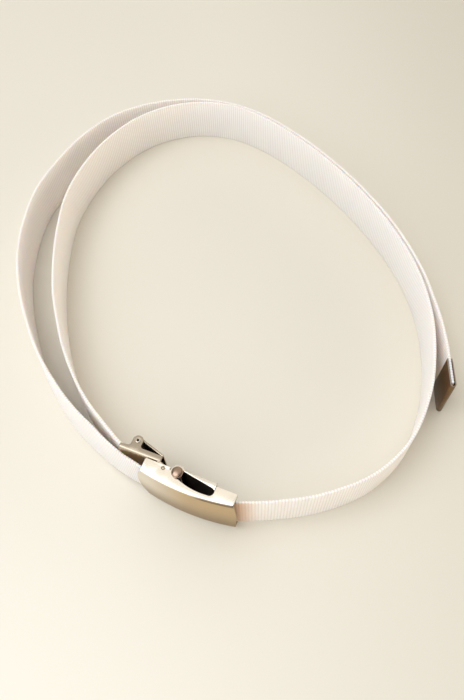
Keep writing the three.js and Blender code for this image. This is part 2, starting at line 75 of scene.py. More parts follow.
CASE_LENGTH = 48.5
CASE_WALL = 0.9
FACE_BULGE = 2.4
WEB_WIDTH = 30
WEB_THICKNESS = 1.5
SEAT_GAP = 0.3
CLAMPED = 9.6  # how far back the clamped end lies
WEB_IN_CLIP = 4.05
WEB_IN_CASE = 2.8
RIB_PITCH = 1.6
RIB_DEPTH = 0.14
STEPS_PER_RIB = 6
EDGE_ROUND = 0.5
YARN_PITCH = 0.62
CORD_WHITES = [(0.97, 0.925, 0.905, 1), (0.99, 0.945, 0.935, 1)]
# painted shade for the valleys between the cross cords
VALLEY_PAINTED_SHADE = (0.76, 0.69, 0.635, 1)
YARN_SHADE = (0.84, 0.79, 0.75, 1)
# painted shadow where the webbing goes in behind the buckle's plate
PAINTED_SHADOW_BROWN = (0.60, 0.35, 0.16, 1)

face_radius = ((CASE_LENGTH / 2) ** 2 + FACE_BULGE ** 2) / (2 * FACE_BULGE)


def face_front(x):
    """The face's front seen from above: an arc through both of its corners that stands FACE_BULGE forward."""
    return face_radius - FACE_BULGE - np.sqrt(face_radius ** 2 - (x - CASE_LENGTH / 2) ** 2)


def seat(x):
    """The middle of the webbing where it lies behind the face."""
    return float(face_front(x)) + CASE_WALL + SEAT_GAP + WEB_THICKNESS / 2


# Each point is x, y, the height of the lower edge, and how far the upper edge leans towards the inside.
WEB_ROUTE = np.array([
    (-3, CLAMPED, WEB_IN_CLIP, 0),
    (-10, CLAMPED, WEB_IN_CLIP, 0),
    (-16.5, CLAMPED + 0.7, WEB_IN_CLIP, 0.4),
    (-24, 13.2, 3, 1.2),
    (-34, 17.9, 1.6, 1.9),
    (-48, 26.2, 0.3, 1.9),
    (-62, 37.6, 0, 1.6),
    (-75.3, 51.2, 0, 1.1),
    (-87.5, 66.6, 0, 0.6),
    (-98.4, 82.4, 0, 0),
    (-110.2, 103, 0, 0),
    (-120.7, 125.6, 0, 0),
    (-129.7, 152, 0, 0),
    (-132.7, 180, 0, 0),
    (-129.6, 209, 0, 0),
    (-119.2, 236.4, 0, 0),
    (-102.2, 256, 0, 0),
    (-82, 267, 0, 0),
    (-60, 270.4, 0, 0),
    (-36, 266.4, 0, 0),
    (-8, 255.5, 0, 0),
    (20, 240.3, 0, 0),
    (48, 220.8, 0, 0),
    (74, 197.7, 0, 0),
    (95.6, 171.4, 0, 0),
    (109.6, 145, 0, 0),
    (117.1, 120, 0, 0),
    (120.4, 95, 0, 0),
    (117.2, 65.4, 0, 0),
    (105, 41.6, 0, 0),
    (CASE_LENGTH + 35.3, 22.4, 0, 0),
    (CASE_LENGTH + 18, 12.3, 0.6, 0),
    (CASE_LENGTH + 6, 6.4, 2, 0),
    (CASE_LENGTH - 2.5, seat(CASE_LENGTH - 2.5) + 1.4, WEB_IN_CASE, 0),
    (CASE_LENGTH - 11.5, seat(CASE_LENGTH - 11.5) + 0.1, WEB_IN_CASE, 0),
    (CASE_LENGTH - 20.5, seat(CASE_LENGTH - 20.5), WEB_IN_CASE, 0),
    (19, seat(19), WEB_IN_CASE, 0),
    (10, seat(10) + 0.4, WEB_IN_CASE, 0),
    (2, seat(2) + 0.6, WEB_IN_CASE, 0.3),
    (-5, seat(-5) + 0.3, 2.6, 0.8),
    (-13, 4.5, 2.1, 1.3),
    (-24, 7, 1.2, 2.4),
    (-37, 11.4, 0.4, 3.5),
    (-53, 18, 0, 3.7),
    (-71, 29.1, 0, 3.1),
    (-88, 42.6, 0, 2.1),
    (-105, 60.3, 0, 1),
    (-120.5, 79.2, 0, 0.3),
    (-134.4, 101, 0, 0),
    (-145, 126, 0, 0),
    (-151.4, 152, 0, 0),
    (-151.6, 177, 0, 0),
    (-147.8, 206, 0, 0),
    (-137.4, 232, 0, 0),
    (-120.4, 251, 0, 0),
    (-101.6, 263.2, 0, 0),
    (-81.6, 270.4, 0, 0),
    (-60, 272.6, 0, 0),
    (-35.3, 268.5, 0, 0),
    (-7.1, 257.5, 0, 0),
    (21.2, 242.2, 0, 0),
    (49.5, 222.6, 0, 0),
    (75.8, 199.4, 0, 0),
    (98, 172.6, 0, 0),
    (109.8, 152.9, 0, 0),
    (116.3, 140.5, 0, 0),
    (121.5, 128.5, 0, 0),
    (125.6, 117, 0, 0),
    (129.9, 104.2, 0, 0),
])
FREE_OF_CLIP = 7  # the route's point past which the webbing stays still when the clip swings
PAINTED_SHADOW_FROM = 31.5  # between these two of the route's points the webbing has a painted brown shadow where it goes in behind the plate's edge
PAINTED_SHADOW_FULL = 32.8


def smooth_line(points, parameter):
    """A centripetal Catmull-Rom curve. Between points b and c of a run a, b, c, d it is the cubic through b
    and c whose end slopes are three-point differences, with knots spaced by the square root of distances."""
    ends = np.vstack([2 * points[0] - points[1], points, 2 * points[-1] - points[-2]])
    knot = np.sqrt(np.linalg.norm(np.diff(ends, axis=0), axis=1))
    i = np.clip(parameter.astype(int), 0, len(points) - 2)
    w = (parameter - i)[:, None]
    a, b, c, d = (ends[i + k] for k in range(4))
    ab, bc, cd = (knot[i + k][:, None] for k in range(3))
    slope_b = ((b - a) / ab - (c - a) / (ab + bc) + (c - b) / bc) * bc
    slope_c = ((c - b) / bc - (d - b) / (bc + cd) + (d - c) / cd) * bc
    return (
        (2 * w ** 3 - 3 * w ** 2 + 1) * b
        + (w ** 3 - 2 * w ** 2 + w) * slope_b
        + (3 * w ** 2 - 2 * w ** 3) * c
        + (w ** 3 - w ** 2) * slope_c
    )


def mesh_piece(name, points, faces, body, replaced=()):
    """A mesh object from points in millimetres from the datum, riding on a CAD body."""
    mesh = bpy.data.meshes.new(name)
    mesh.from_pydata((datum + np.asarray(points) * MM).tolist(), [], [list(f) for f in faces])
    mesh.shade_smooth()
    made = bpy.data.objects.new(name, mesh)
    bpy.context.scene.collection.objects.link(made)
    if body:
        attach(made, body)
    if replaced:
        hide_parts(*replaced)
    return made


route_parameter = np.linspace(0, len(WEB_ROUTE) - 1, 200 * len(WEB_ROUTE))
route_plan = smooth_line(WEB_ROUTE[:, :2], route_parameter)
route_run = np.append(0, np.cumsum(np.linalg.norm(np.diff(route_plan, axis=0), axis=1)))
rib_count = round(route_run[-1] / RIB_PITCH)
rib_pitch = route_run[-1] / rib_count
web_run = np.arange(rib_count * STEPS_PER_RIB + 1) * rib_pitch / STEPS_PER_RIB
web_parameter = np.interp(web_run, route_run, route_parameter)
web_middle = smooth_line(WEB_ROUTE[:, :2], web_parameter)
web_along = np.gradient(web_middle, web_run, axis=0)
web_along /= np.linalg.norm(web_along, axis=1)[:, None]
web_height = np.interp(web_parameter, np.arange(len(WEB_ROUTE)), WEB_ROUTE[:, 2])
web_lean = np.interp(web_parameter, np.arange(len(WEB_ROUTE)), WEB_ROUTE[:, 3])


def woven_band(name, first, last):
    """The webbing from one rib to another: a flat section with rounded edges carried along the route. Its
    thickness and the place of its edges follow the absolute sine of the run, one arch to each cross cord."""
    part = slice(first * STEPS_PER_RIB, last * STEPS_PER_RIB + 1)
    ridge = np.abs(np.sin(np.pi * web_run[part] / rib_pitch))[:, None]
    turn = np.array([0, np.pi / 4, np.pi / 2])
    inset = np.concatenate([EDGE_ROUND * (1 - np.sin(turn)), [0], EDGE_ROUND * (1 - np.sin(turn[::-1]))])
    corner = EDGE_ROUND * (1 - np.cos(turn))
    rise = np.concatenate([corner, [WEB_WIDTH / 2], WEB_WIDTH - corner[::-1]])
    inset = np.concatenate([inset, inset])
    rise = np.concatenate([rise, rise[::-1]])
    side = np.repeat([1, -1], len(inset) // 2)
    half = WEB_THICKNESS / 2 - RIB_DEPTH * (1 - ridge)
    through = side * (half - inset)
    middle = WEB_WIDTH / 2
    rise = middle + (rise - middle) * (1 - RIB_DEPTH * (1 - ridge) / middle)
    tilt = np.arcsin(web_lean[part] / WEB_WIDTH)[:, None]
    inward = np.stack([web_along[part, 1], -web_along[part, 0]], axis=1)
    level = through * np.cos(tilt) + rise * np.sin(tilt)
    height = web_height[part, None] + (WEB_THICKNESS / 2 - through) * np.sin(tilt) + rise * np.cos(tilt)
    plan = web_middle[part][:, None, :] + level[:, :, None] * inward[:, None, :]
    points = np.concatenate([plan, height[:, :, None]], axis=2)
    rows, around = level.shape
    corner_index = np.arange(rows * around).reshape(rows, around)
    a = corner_index[:-1]
    b = corner_index[1:]
    quads = np.stack([a, b, np.roll(b, -1, axis=1), np.roll(a, -1, axis=1)], axis=2).reshape(-1, 4)
    faces = quads.tolist() + [corner_index[0].tolist(), corner_index[-1, ::-1].tolist()]
    band = mesh_piece(name, points.reshape(-1, 3), faces, None)
    run = np.repeat(web_run[part], around)
    place = np.stack([run, rise.ravel()], axis=1)
    corners = np.empty(len(band.data.loops), np.int32)
    band.data.loops.foreach_get("vertex_index", corners)
    band.data.uv_layers.new(name="along_and_across").data.foreach_set("uv", place[corners].ravel())
    length = (web_run[part][-1] - web_run[part][0]) * MM
    return band


class Value:
    """The output of a shader node. Arithmetic with another value or a number adds a Math node."""

    def __init__(self, finish, socket):
        self.finish = finish
        self.socket = socket

    def math(self, operation, *values):
        inputs = dict(enumerate([self, *values]))
        return self.finish.node("ShaderNodeMath", {"operation": operation}, inputs)

    def __add__(self, other):
        return self.math("ADD", other)

    def __mul__(self, other):
        return self.math("MULTIPLY", other)

    def __sub__(self, other):
        return self.math("SUBTRACT", other)

    def __rsub__(self, other):
        return self.finish.node("ShaderNodeMath", {"operation": "SUBTRACT"}, {0: other, 1: self})

    def __pow__(self, power):
        return self.math("POWER", power)

    __radd__ = __add__
    __rmul__ = __mul__


class Nodes:
    """A node tree that nodes are added to."""

    def __init__(self, tree):
        self.tree = tree

    def node(self, kind, settings=None, inputs=None, output=0):
        """Adds a node: its settings first, then a number, a colour or another node's Value to each input."""
        made = self.tree.nodes.new(kind)
        for name, value in (settings or {}).items():
            setattr(made, name, value)
        for key, value in (inputs or {}).items():
            if isinstance(value, Value):
                self.tree.links.new(value.socket, made.inputs[key])
            else:
                made.inputs[key].default_value = value
        return Value(self, made.outputs[output])

    def mix(self, factor, low, high):
        """A colour between two others."""
        return self.node("ShaderNodeMix", {"data_type": "RGBA"}, {0: factor, 6: low, 7: high}, output=2)

    def ramp(self, value, low, high):
        """0 below one value, 1 above another, and a smooth rise between them."""
        settings = {"interpolation_type": "SMOOTHSTEP"}
        return self.node("ShaderNodeMapRange", settings, {0: value, 1: low, 2: high, 3: 0.0, 4: 1.0})

    def noise(self, place, scale, detail=2.0):
        """Smooth noise between 0 and 1; scale is in cells to a unit of place."""
        inputs = {"Vector": place, "Scale": scale, "Detail": detail}
        return self.node("ShaderNodeTexNoise", {}, inputs)

    def axes(self, place):
        """The x, y and z of a vector."""
        split = self.tree.nodes.new("ShaderNodeSeparateXYZ")
        self.tree.links.new(place.socket, split.inputs[0])
        return [Value(self, socket) for socket in split.outputs]


class Finish(Nodes):
    """A material built from nodes around one Principled BSDF."""

    def __init__(self, name, **fixed):
        self.material = bpy.data.materials.new(name)
        self.material.use_nodes = True
        super().__init__(self.material.node_tree)
        self.shader = self.tree.nodes["Principled BSDF"]
        for socket, value in fixed.items():
            self.shader.inputs[self.label(socket)].default_value = value

    def label(self, socket):
        """A socket's own label: base_color is Base Color."""
        return socket.replace("_", " ").title().replace("Ior", "IOR")

    def bump(self, height, distance, strength=1.0):
        """A normal bent by a height; distance is the height's size in metres."""
        return self.node("ShaderNodeBump", {}, {"Height": height, "Distance": distance, "Strength": strength})

    def feed(self, **values):
        """Links values to the shader's sockets."""
        for socket, value in values.items():
            self.tree.links.new(value.socket, self.shader.inputs[self.label(socket)])
        return self.material


def run_at(point_index):
    """How far along the webbing one of the route's points lies."""
    return float(np.interp(point_index, route_parameter, route_run))


def webbing_cloth():
    """White nylon: painted shade of darker cream in the valleys between cords, a basket of fine warp yarns
    over each cord, a slow drift of tint along the length, and a painted brown shadow where it goes in behind
    the face."""
    cloth = Finish(
        "webbing_cloth", roughness=0.78, sheen_weight=0.25, sheen_roughness=0.5,
        subsurface_weight=0.7, subsurface_radius=(1.0, 0.74, 0.5), subsurface_scale=0.0024,
    )
    place = cloth.node("ShaderNodeUVMap", {"uv_map": "along_and_across"})
    run, rise, _ = cloth.axes(place)
    ridge = (run * (math.pi / rib_pitch)).math("SINE").math("ABSOLUTE")
    parity = (run * (1 / rib_pitch)).math("FLOOR") * math.pi
    yarn = (rise * (2 * math.pi / YARN_PITCH) + parity).math("COSINE") * 0.5 + 0.5
    drift = cloth.noise(place, 0.03)
    fuzz = cloth.noise(place, 9.0, 3.0)
    shade = cloth.mix(drift, *CORD_WHITES)
    # painted shade: the valleys between cords are coloured darker cream
    shade = cloth.mix(ridge ** 0.6, VALLEY_PAINTED_SHADE, shade)
    side = cloth.axes(cloth.node("ShaderNodeTexCoord", {}, {}, output=1))[1]
    # painted shadow: brown on the webbing's outer side just where it goes in behind the plate's edge
    wear_and_painted_shade = cloth.ramp(run, run_at(PAINTED_SHADOW_FROM), run_at(PAINTED_SHADOW_FULL)) * cloth.ramp(side, 0.0, -0.5)
    wear_and_painted_shade = wear_and_painted_shade * cloth.ramp(run, run_at(PAINTED_SHADOW_FULL + 1), run_at(PAINTED_SHADOW_FULL))
    shade = cloth.mix(wear_and_painted_shade * 0.85, shade, PAINTED_SHADOW_BROWN)
    shade = cloth.mix(yarn * 0.10, shade, YARN_SHADE)
    height = yarn * ridge * 0.6 + fuzz * 0.4
    return cloth.feed(base_color=shade, normal=cloth.bump(height, 0.00006, 0.7))


def rib_at(point_index):
    """The rib nearest to one of the route's points."""
    return round(run_at(point_index) / rib_pitch)


web_cloth = webbing_cloth()
clamped_end = woven_band("webbing_clamped_end", 0, rib_at(FREE_OF_CLIP))
clamped_end.data.materials.append(web_cloth)
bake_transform(clamped_end)
laps = woven_band("webbing_laps", rib_at(FREE_OF_CLIP), rib_count)
laps.data.materials.append(web_cloth)
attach(laps, "buckle")
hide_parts("webbing")

# Buckle case --------------------------------------------------------------------------------------
# One plated sheet, pressed to a bulged face and bent back along its two long edges into flanges. Each flange
# is cut out for the front of the locking bar's slot and for the bar guide, and has a hole for the clip's pin.

CASE_DEPTH = 7.3
CASE_BOTTOM = 1.6
CASE_TOP = 36.5
CASE_BEND = 1.5  # outer radius of the bends between the face and the flanges
CASE_CORNER = 0.7  # radius of the flanges' free corners
FACE_CROWN = 0.35
FACE_BOW_LEFT = 3.5
FACE_BOW_RIGHT = 1.2
STEP_BACK = 0.8  # how much less deep the flanges are at their right end
BAR_START = np.array([17.5, CASE_DEPTH - 1.35])  # the locking bar's first place
BAR_RADIUS = 2
PINCH_GAP = 0.3
BAR_END_X = 35.3
SLOT_HALF = 2.15
SLOT_BULGE = 1.2  # how far the slot's front edge bows towards the face
GUIDE_GAP = 0.15
GUIDE_RIM = 1.75  # how wide the guide's lip is round the slot's left end
GUIDE_PAST_BAR = 2.1
HINGE = np.array([HINGE_X, HINGE_Y])
HINGE_HOLE = 0.98
EDGE_BREAK = 0.13
WELD = 0.002  # points closer than this become one
BREAK_ABOVE = math.radians(40)
SMOOTH_BELOW = math.radians(32)
# Painted light on the plate: a lit and a shaded copy of the face's colour, a painted reflection on the
# flanges, and painted shade low on the face and on the bends' right part.
FACE_SATIN_LIT_TO_SHADED = [(0.80, 0.74, 0.64, 1), (0.60, 0.445, 0.25, 1)]
FLANGE_PAINTED_REFLECTION = (0.90, 0.845, 0.74, 1)
FACE_PAINTED_SHADE_LOW = (0.27, 0.185, 0.095, 1)
BEND_PAINTED_SHADE = (0.17, 0.12, 0.075, 1)
STAIN = (0.45, 0.40, 0.33, 1)
# painted shade for the insides of the sheets, the flap's underside and the rivet's bore
INSIDE_PAINTED_SHADE = [(0.011, 0.008, 0.006, 1), (0.02, 0.015, 0.011, 1)]

guide_end_x = BAR_END_X + GUIDE_PAST_BAR
guide_reach = SLOT_HALF + GUIDE_RIM
bar_end = np.array([BAR_END_X, seat(BAR_END_X) + WEB_THICKNESS / 2 + PINCH_GAP + BAR_RADIUS])
slot_along = (bar_end - BAR_START) / np.linalg.norm(bar_end - BAR_START)
slot_back = np.array([-slot_along[1], slot_along[0]])


def arc(centre, radius, start, end, steps=12):
    """Points at even angles round a centre, from one angle to another in degrees."""
    turn = np.radians(np.linspace(start, end, steps + 1))
    return np.asarray(centre) + radius * np.stack([np.cos(turn), np.sin(turn)], axis=1)


def round_hole(centre, radius):
    """A hole's outline of 24 points."""
    return arc(centre, radius, 0, 345, 23)


def filled(loops):
    """Points and triangles of the flat area inside the first loop and outside the others."""
    points = np.vstack(loops)
    edges = []
    start = 0
    for loop in loops:
        index = np.arange(len(loop)) + start
        edges += np.stack([index, np.roll(index, -1)], axis=1).tolist()
        start += len(loop)
    made = delaunay_2d_cdt([Vector(p) for p in points.tolist()], edges, [], 1, 1e-6)
    points = np.array([tuple(p) for p in made[0]])
    triangles = np.array(made[2])
    middle = points[triangles].mean(axis=1)
    keep = inside(middle, loops[0])
    for hole in loops[1:]:
        keep &= ~inside(middle, hole)
    return points, triangles[keep]


def inside(points, loop):
    """Whether each point has an odd number of the loop's edges on its right."""
    a = loop[None, :, :]
    b = np.roll(loop, -1, axis=0)[None, :, :]
    x = points[:, None, 0]
    y = points[:, None, 1]
    spans = (a[..., 1] > y) != (b[..., 1] > y)
    rise = np.where(spans, b[..., 1] - a[..., 1], 1)
    crossing = a[..., 0] + (y - a[..., 1]) / rise * (b[..., 0] - a[..., 0])
    return (spans & (x < crossing)).sum(axis=1) % 2 == 1


def folded_face(x, front, low, high, bend, bow=(0, 0), crown=0, rows=14):
    """The sheet's face and its two bends as a grid: along the face, and down it from one flange to the other.
    Each row's ends stand past the flanges by the bow, which falls off with the square of the height."""
    turn = np.radians(np.linspace(0, 90, 7))
    down = np.linspace(high - bend, low + bend, rows + 1)
    fall = bend - bend * np.cos(turn)
    rise = bend - bend * np.sin(turn)
    z = np.concatenate([high - fall, down[1:-1], (low + fall)[::-1]])
    back = np.concatenate([rise, np.zeros(rows - 1), rise[::-1]])
    share = 1 - ((z - (low + high) / 2) / ((high - low) / 2)) ** 2
    along = (x - x[0]) / (x[-1] - x[0])
    spread = x[None, :] - share[:, None] * (bow[0] * (1 - along) - bow[1] * along)
    y = front(spread) + back[:, None] - crown * share[:, None]
    points = np.stack([spread, y, np.broadcast_to(z[:, None], y.shape)], axis=2)
    index = np.arange(y.size).reshape(y.shape)
    quads = np.stack([index[:-1, :-1], index[1:, :-1], index[1:, 1:], index[:-1, 1:]], axis=2)
    return points.reshape(-1, 3), quads.reshape(-1, 4)


def finished_sheet(name, parts, wall, body, replaced, finishes, looks=-1, edge=EDGE_BREAK):
    """Welds parts of a sheet's outer surface, gives it a wall towards the inside, and breaks its edges. The
    outer side looks towards +Y or -Y. The first finish is the outer one and the second the inner one."""
    points = np.vstack([p for p, _ in parts])
    faces = []
    start = 0
    for part_points, part_faces in parts:
        faces += (np.asarray(part_faces) + start).tolist()
        start += len(part_points)
    made = mesh_piece(name, points, faces, None)
    for finish in finishes:
        made.data.materials.append(finish)
    shell = bmesh.new()
    shell.from_mesh(made.data)
    bmesh.ops.remove_doubles(shell, verts=shell.verts, dist=WELD * MM)
    bmesh.ops.recalc_face_normals(shell, faces=shell.faces)
    facing = sum(f.normal.y * f.calc_area() for f in shell.faces)
    if facing * looks < 0:
        bmesh.ops.reverse_faces(shell, faces=shell.faces)
    shell.to_mesh(made.data)
    shell.free()
    solidify = made.modifiers.new("wall", "SOLIDIFY")
    solidify.thickness = wall * MM
    solidify.offset = -1
    solidify.use_even_offset = True
    # the inner faces take the second finish, the painted shade of the insides
    solidify.material_offset = 1
    return edges_broken(made, edge, body, replaced)


def edges_broken(made, edge, body, replaced):
    """Rounds a piece's sharp edges, keeps the result as its mesh, and puts it on its body."""
    bevel = made.modifiers.new("edges", "BEVEL")
    bevel.width = edge * MM
    bevel.segments = 2
    bevel.limit_method = "ANGLE"
    bevel.angle_limit = BREAK_ABOVE
    bevel.use_clamp_overlap = False
    graph = bpy.context.evaluated_depsgraph_get()
    mesh = bpy.data.meshes.new_from_object(made.evaluated_get(graph))
    made.modifiers.clear()
    made.data = mesh
    mesh.set_sharp_from_angle(angle=SMOOTH_BELOW)
    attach(made, body)
    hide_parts(*replaced)
    return made


slot_tilt = math.degrees(math.atan2(slot_along[1], slot_along[0]))
slot_length = np.linalg.norm(bar_end - BAR_START)


def slot_front():
    """The slot's front edge from its right end to its left one: a parabola that bows towards the face."""
    share = np.linspace(1, 0, 17)[1:-1, None]
    bow = -SLOT_HALF - 4 * SLOT_BULGE * share * (1 - share)
    return BAR_START + slot_along * slot_length * share + slot_back * bow


def flange_outline(front_line):
    """A flange seen from above: its front line, a back edge with rounded corners, and between them the
    cutout, which goes down past the guide's end, along the slot's front, and out round its round end."""
    shallow = CASE_DEPTH - STEP_BACK
    cut_x = guide_end_x + GUIDE_GAP
    enters = -math.degrees(math.asin(GUIDE_GAP / SLOT_HALF))
    outer = guide_reach + GUIDE_GAP
    returns = 180 - math.degrees(math.asin((CASE_DEPTH - BAR_START[1]) / outer))
    return np.vstack([
        front_line,
        arc((CASE_LENGTH - CASE_CORNER, shallow - CASE_CORNER), CASE_CORNER, 0, 90, 5),
        (cut_x, shallow),
        (cut_x, bar_end[1] - GUIDE_GAP),
        arc(bar_end, SLOT_HALF, enters, slot_tilt - 90),
        slot_front(),
        arc(BAR_START, SLOT_HALF, slot_tilt - 90, -180),
        arc(BAR_START, outer, 180, returns, 3),
        arc((CASE_CORNER, CASE_DEPTH - CASE_CORNER), CASE_CORNER, 90, 180, 5),
    ])


def flange(x, height):
    """A flange's outer surface at a height, less its cutout and the hole for the clip's pin."""
    front_line = np.stack([x, face_front(x) + CASE_BEND], axis=1)
    points, triangles = filled([flange_outline(front_line), round_hole(HINGE, HINGE_HOLE)])
    return np.column_stack([points, np.full(len(points), height)]), triangles


def plated(name, satin_lit_to_shaded, top_painted_reflection):
    """Nickel plate: polished where it is flat on top, where its colour is a painted reflection; brushed
    lengthwise on the face, with painted light that makes it lighter on the left and darker and warmer
    towards the right end; painted shade low down and along the right part of the bends; and faint stains
    and scratches."""
    metal = Finish(name, metallic=1.0)
    place = metal.node("ShaderNodeTexCoord", {}, {}, output=3)
    x, y, z = metal.axes(place)
    stain = metal.noise(place, 90.0, 3.0)
    scratch = metal.noise(stretched(metal, x, y, z, 0.04), 9000.0, 3.0)
    normal = metal.node("ShaderNodeTexCoord", {}, {}, output=1)
    upward = metal.axes(normal)[2].math("ABSOLUTE")
    # the tops' own colour is a painted reflection; their lower roughness is real polish
    flat = metal.ramp(upward, 0.55, 0.85)
    left = float(datum[0])
    # painted light: the face lighter on the left, where the light comes from, and darker and warmer to the
    # right
    end = metal.ramp(x, left, left + 0.6 * CASE_LENGTH * MM)
    # painted shade: darker low down, near the table
    low = metal.ramp(z, 0.75 * CASE_TOP * MM, 0.1 * CASE_TOP * MM) * 0.8
    face_colour = metal.mix(low, metal.mix(end, *satin_lit_to_shaded), FACE_PAINTED_SHADE_LOW)
    colour = metal.mix(flat, face_colour, top_painted_reflection)
    # painted shade along the right part of the bends
    bend = metal.ramp(upward, 0.12, 0.3) * metal.ramp(upward, 0.97, 0.8)
    bend_shade_from = left + 0.55 * CASE_LENGTH * MM
    wear_and_painted_shade = bend * metal.ramp(x, bend_shade_from, bend_shade_from + 0.15 * CASE_LENGTH * MM)
    colour = metal.mix(wear_and_painted_shade * 0.8, colour, BEND_PAINTED_SHADE)
    colour = metal.mix(metal.ramp(stain, 0.45, 0.8) * 0.12, colour, STAIN)
    roughness = (1 - flat) * 0.2 + 0.15 + scratch * 0.12
    height = scratch * (1 - flat * 0.8)
    return metal.feed(base_color=colour, roughness=roughness, normal=metal.bump(height, 0.000006, 0.5))


def painted_shade_inside_finish():
    """The inner side of the sheets: painted shade, nearly black and dull, with a faint mottle."""
    metal = Finish("painted_shade_inside_finish", specular_ior_level=0.15)
    place = metal.node("ShaderNodeTexCoord", {}, {}, output=3)
    mottle = metal.noise(place, 400.0, 3.0)
    colour = metal.mix(mottle, *INSIDE_PAINTED_SHADE)
    return metal.feed(base_color=colour, roughness=mottle * 0.2 + 0.6)


def stretched(metal, x, y, z, share):
    """The place with its X shrunk to a share, so that a pattern on it runs along X."""
    return metal.node("ShaderNodeCombineXYZ", {}, {0: x * share, 1: y, 2: z})


case_plate = plated("case_plate", FACE_SATIN_LIT_TO_SHADED, FLANGE_PAINTED_REFLECTION)
inside_painted_shade = painted_shade_inside_finish()
case_x = np.linspace(0, CASE_LENGTH, 65)
case_face = folded_face(
    case_x, face_front, CASE_BOTTOM, CASE_TOP, CASE_BEND, (FACE_BOW_LEFT, FACE_BOW_RIGHT), FACE_CROWN
)
finished_sheet(
    "buckle_case_plate",
    [case_face, flange(case_x, CASE_TOP), flange(case_x, CASE_BOTTOM)],
    CASE_WALL,
    "buckle",
    ["buckle_case"],
    [case_plate, inside_painted_shade],
)

# Bar guide ------------------------------------------------------------------------------------------
# A sheet-metal wall that closes the back of the case behind the locking bar. Its two ends are folded over
# into lips, which fill the flanges' cutouts, lie a little lower than them, and form the slots' back edges.

GUIDE_WALL = 0.9
GUIDE_RECESS = 0.3
GUIDE_BEND = 0.25
GUIDE_BEHIND_SLOT = 0.05
GUIDE_STRAIGHT_END = 22  # how far left the even points of the wall's straight back go
# painted light: a lit and a shaded copy of the guide's colour, and a painted reflection on its lips' tops
GUIDE_SATIN_LIT_TO_SHADED = [(0.72, 0.68, 0.60, 1), (0.66, 0.62, 0.54, 1)]
GUIDE_PAINTED_REFLECTION = (0.76, 0.715, 0.63, 1)

guide_back = BAR_START[1] + SLOT_HALF + GUIDE_BEHIND_SLOT
guide_low = CASE_BOTTOM + GUIDE_RECESS
guide_high = CASE_TOP - GUIDE_RECESS
guide_meets = math.degrees(math.asin((guide_back - BAR_START[1]) / guide_reach))
guide_straight = np.linspace(guide_end_x, GUIDE_STRAIGHT_END, 13)
guide_back_line = np.vstack([
    np.column_stack([guide_straight, np.full(len(guide_straight), guide_back)]),
    arc(BAR_START, guide_reach, guide_meets, 180, 28),
])


def guide_lip(height):
    """A lip's outer surface: the back line, and in front of it the back edge of the slot."""
    leaves = math.degrees(math.acos((guide_end_x - bar_end[0]) / SLOT_HALF))
    slot_side = np.vstack([
        arc(BAR_START, SLOT_HALF, 180, slot_tilt + 90, 16),
        arc(bar_end, SLOT_HALF, slot_tilt + 90, leaves, 10),
    ])
    points, triangles = filled([np.vstack([guide_back_line, slot_side])])
    return np.column_stack([points, np.full(len(points), height)]), triangles


def guide_wall():
    """The wall: the back line carried from one lip down to the other."""
    count = len(guide_back_line)
    high = np.column_stack([guide_back_line, np.full(count, guide_high)])
    low = np.column_stack([guide_back_line, np.full(count, guide_low)])
    left = np.arange(count - 1)
    quads = np.stack([left, left + count, left + count + 1, left + 1], axis=1)
    return np.vstack([high, low]), quads


guide_plate = plated("guide_plate", GUIDE_SATIN_LIT_TO_SHADED, GUIDE_PAINTED_REFLECTION)
finished_sheet(
    "bar_guide_wall",
    [guide_lip(guide_high), guide_wall(), guide_lip(guide_low)],
    GUIDE_WALL,
    "buckle",
    ["bar_guide"],
    [guide_plate, inside_painted_shade],
    1,
    GUIDE_BEND,
)

# Locking bar and knobs ------------------------------------------------------------------------------
# A round steel bar across the inside of the case pinches the webbing as it is slid down the slots. A domed
# knob is pressed onto the spigot at each end, outside the flange, to be pushed with a finger.

KNOB_RADIUS = 2.9
KNOB_HEIGHT = 1.5
KNOB_SKIRT = 0.525
KNOB_GAP = 0.1
SPIGOT_RADIUS = 1.1
SPIGOT_LENGTH = 0.9
SPIGOT_GAP = 0.05
TURNED_FACETS = 64
KNOB_BROWNS = [(0.33, 0.225, 0.16, 1), (0.25, 0.17, 0.12, 1)]


def turned(name, centre, profile, body, replaced, edge_angle=SMOOTH_BELOW):
    """A profile of radius and height spun round an upright axis: at angle a a point of it is at
    (radius cos a, radius sin a, height). Points on the axis become one."""
    profile = np.asarray(profile, float)
    turn = np.linspace(0, 2 * np.pi, TURNED_FACETS, endpoint=False)
    radius = profile[:, 0][:, None]
    height = np.broadcast_to(profile[:, 1][:, None], (len(profile), TURNED_FACETS))
    x = centre[0] + radius * np.cos(turn)
    y = centre[1] + radius * np.sin(turn)
    points = np.stack([x, y, height], axis=2)
    index = np.arange(height.size).reshape(height.shape)
    a = index[:-1]
    b = index[1:]
    quads = np.stack([a, np.roll(a, -1, axis=1), np.roll(b, -1, axis=1), b], axis=2).reshape(-1, 4)
    made = mesh_piece(name, points.reshape(-1, 3), quads, body, replaced)
    shell = bmesh.new()
    shell.from_mesh(made.data)
    bmesh.ops.remove_doubles(shell, verts=shell.verts, dist=WELD / 2 * MM)
    bmesh.ops.recalc_face_normals(shell, faces=shell.faces)
    shell.to_mesh(made.data)
    shell.free()
    made.data.set_sharp_from_angle(angle=edge_angle)
    return made


